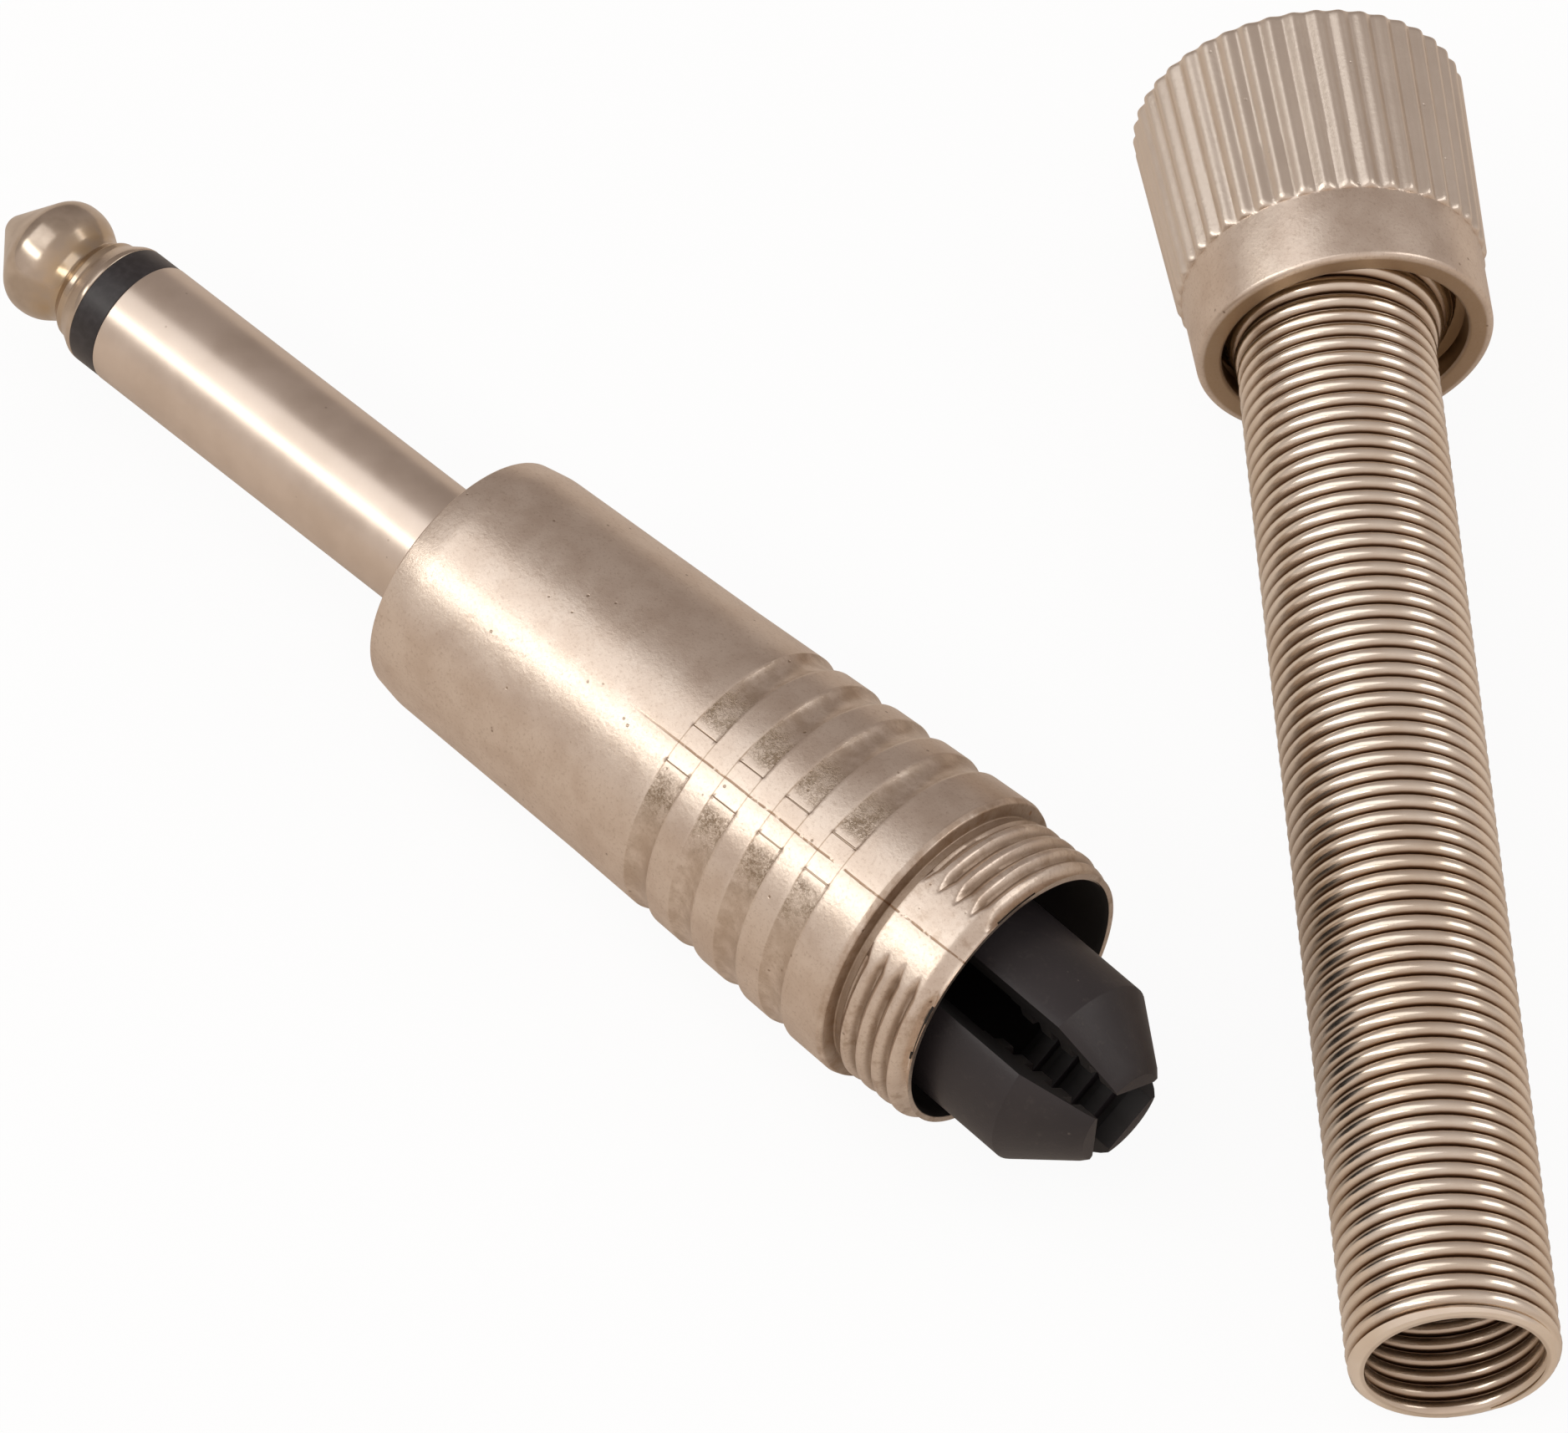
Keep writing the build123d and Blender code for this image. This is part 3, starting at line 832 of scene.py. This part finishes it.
outer_side = bm.verts.layers.float.new("outer_side")
for vert in bm.verts:
    radius = math.hypot(vert.co.y, vert.co.z)
    vert[outer_side] = (radius - coil_radius) / wire_radius
    opened = min(1.0, max(0.0, (vert.co.x - flare_start) / flare_rise))
    if opened:
        scale = (radius + flare_growth * opened * opened) / radius
        vert.co.y *= scale
        vert.co.z *= scale
bmesh.ops.translate(bm, verts=bm.verts, vec=(-ground_away, 0, 0))
cut = bmesh.ops.bisect_plane(
    bm,
    geom=bm.verts[:] + bm.edges[:] + bm.faces[:],
    dist=0.0001,
    plane_co=(0, 0, 0),
    plane_no=(1, 0, 0),
    clear_inner=True,
)
cut_edges = [part for part in cut["geom_cut"] if isinstance(part, bmesh.types.BMEdge)]
bmesh.ops.triangle_fill(bm, use_beauty=True, edges=cut_edges)
for vert in bm.verts:
    radius = math.hypot(vert.co.y, vert.co.z)
    limit = spring_radius - max(0.0, end_chamfer - vert.co.x)
    if radius > limit and vert.co.x < end_chamfer:
        vert.co.y *= limit / radius
        vert.co.z *= limit / radius
finish_mesh(bm, spring_place)
spring_wire, tree = new_finish("spring_wire")
where = own_place(tree, spring_place)
haze = noise(tree, where, 1.6)
streaks = noise(tree, stretched(tree, where, (6.0, 0.8, 0.8)), 1.0, 3.0)
tarnish = noise(tree, where, 7.0, 3.0).between(0.42, 0.66)
side = add_node(tree, "ShaderNodeAttribute", {"attribute_name": "outer_side"}, {}, output="Fac")
station = add_node(tree, "ShaderNodeSeparateXYZ", {}, {"Vector": where}).part("X")
# The wire is painted dark brown where it faces the next turn, a painted shade in the gaps between
# turns.
in_gap = (1 - side.size().between(0.40, 1.0)) * station.between(0.25, 0.55)
# Its side towards the coil's middle is painted a little browner, a painted shade inside the coil.
inside = 1 - side.between(-0.5, 0.0)
tint = mixed(tree, haze.between(0.3, 0.7), (0.92, 0.83, 0.72, 1), (0.98, 0.91, 0.81, 1))
tint = mixed(tree, tarnish * 0.30, tint, (0.60, 0.46, 0.31, 1))
tint = mixed(tree, in_gap * 0.88, tint, (0.24, 0.13, 0.06, 1))
tint = mixed(tree, inside * 0.3, tint, (0.30, 0.19, 0.11, 1))
gloss = streaks * 0.08 + haze * 0.04 + in_gap * 0.12 + 0.15
bumps = relief(tree, streaks, 0.000003)
surface(tree, {"Base Color": tint, "Metallic": 1.0, "Roughness": gloss, "Normal": bumps})
spring = new_object("wound_spring", bm, [spring_wire])
crease(spring, 40)
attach(spring, "spring")
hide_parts("spring")

# Chuck: one plastic moulding whose three toothed jaws close on the cable when the nut is screwed
# on. It is nearly black all over, and its inner faces are painted darker still, a painted shade in
# the slots and between the teeth.
chuck_bevel = 0.00011
flat_angle = 1
sharp_angle = 20
inward_limit = 0.35
end_limit = 0.8
bm = bmesh.new()
bm.from_mesh(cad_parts["chuck"].data)
bmesh.ops.remove_doubles(bm, verts=bm.verts, dist=0.000002)
bmesh.ops.dissolve_limit(
    bm,
    angle_limit=math.radians(flat_angle),
    verts=bm.verts,
    edges=bm.edges,
    use_dissolve_boundaries=False,
)
sharp = [
    edge
    for edge in bm.edges
    if len(edge.link_faces) == 2 and math.degrees(edge.calc_face_angle(0)) > sharp_angle
]
bmesh.ops.bevel(
    bm,
    geom=sharp,
    offset=chuck_bevel,
    offset_type="OFFSET",
    segments=2,
    profile=0.5,
    affect="EDGES",
    clamp_overlap=True,
    material=-1,
)
bm.normal_update()
chuck_place = place((14.91847, 0, 0.50764), (0.99965, -0.02294, -0.01305))
into_chuck = chuck_place.inverted()
# Faces turned inward or along the slots take the second finish, a painted shade.
for face in bm.faces:
    middle = into_chuck @ face.calc_center_median()
    facing = (into_chuck.to_3x3() @ face.normal).normalized()
    outward = facing.dot(Vector((0, middle.y, middle.z)).normalized())
    if outward < inward_limit and abs(facing.x) < end_limit:
        face.material_index = 1
chuck_plastic, tree = new_finish("chuck_plastic")
where = own_place(tree, chuck_place)
cloud = noise(tree, where, 2.6, 4.0)
dust = noise(tree, where, 0.5, 5.0, 0.7)
grain = noise(tree, where, 0.12, 2.0)
scuffs = specks(tree, where, 0.9, 0.10, 0.60)
tint = mixed(tree, cloud.between(0.3, 0.7), (0.018, 0.015, 0.018, 1), (0.024, 0.020, 0.023, 1))
tint = mixed(tree, dust.between(0.54, 0.76) * 0.07 + scuffs * 0.3, tint, (0.24, 0.21, 0.18, 1))
gloss = cloud * 0.04 + dust * 0.04 + 0.42
bumps = relief(tree, grain + dust * 0.4, 0.000006)
surface(tree, {"Base Color": tint, "Roughness": gloss, "Normal": bumps})
# Near-black finish for the inner faces: painted shade in the slots and between the teeth.
chuck_inside, tree = new_finish("chuck_inside")
surface(tree, {"Base Color": (0.009, 0.008, 0.009, 1), "Roughness": 0.6})
chuck = new_object("jaw_chuck", bm, [chuck_plastic, chuck_inside])
crease(chuck, 30)
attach(chuck, "chuck")
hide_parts("chuck")

# Rod, washers and solder lugs: brass, black plastic and tinned brass parts inside the shell,
# seen only through its open end.
brass, tree = new_finish("brass")
haze = noise(tree, own_place(tree, plug_place), 1.5)
tint = mixed(tree, haze, (0.60, 0.42, 0.18, 1), (0.74, 0.56, 0.28, 1))
surface(tree, {"Base Color": tint, "Metallic": 1.0, "Roughness": haze * 0.2 + 0.25})
tin, tree = new_finish("tin")
haze = noise(tree, own_place(tree, plug_place), 1.8, 5.0)
tint = mixed(tree, haze, (0.55, 0.54, 0.51, 1), (0.75, 0.74, 0.71, 1))
surface(tree, {"Base Color": tint, "Metallic": 1.0, "Roughness": haze * 0.25 + 0.28})
for node, finish in (
    ("centre_rod", brass),
    ("rod_insulator", black_plastic),
    ("rear_insulator", black_plastic),
    ("sleeve_terminal", tin),
    ("tip_terminal", tin),
):
    cad_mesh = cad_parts[node].data
    for i in range(len(cad_mesh.materials)):
        cad_mesh.materials[i] = finish
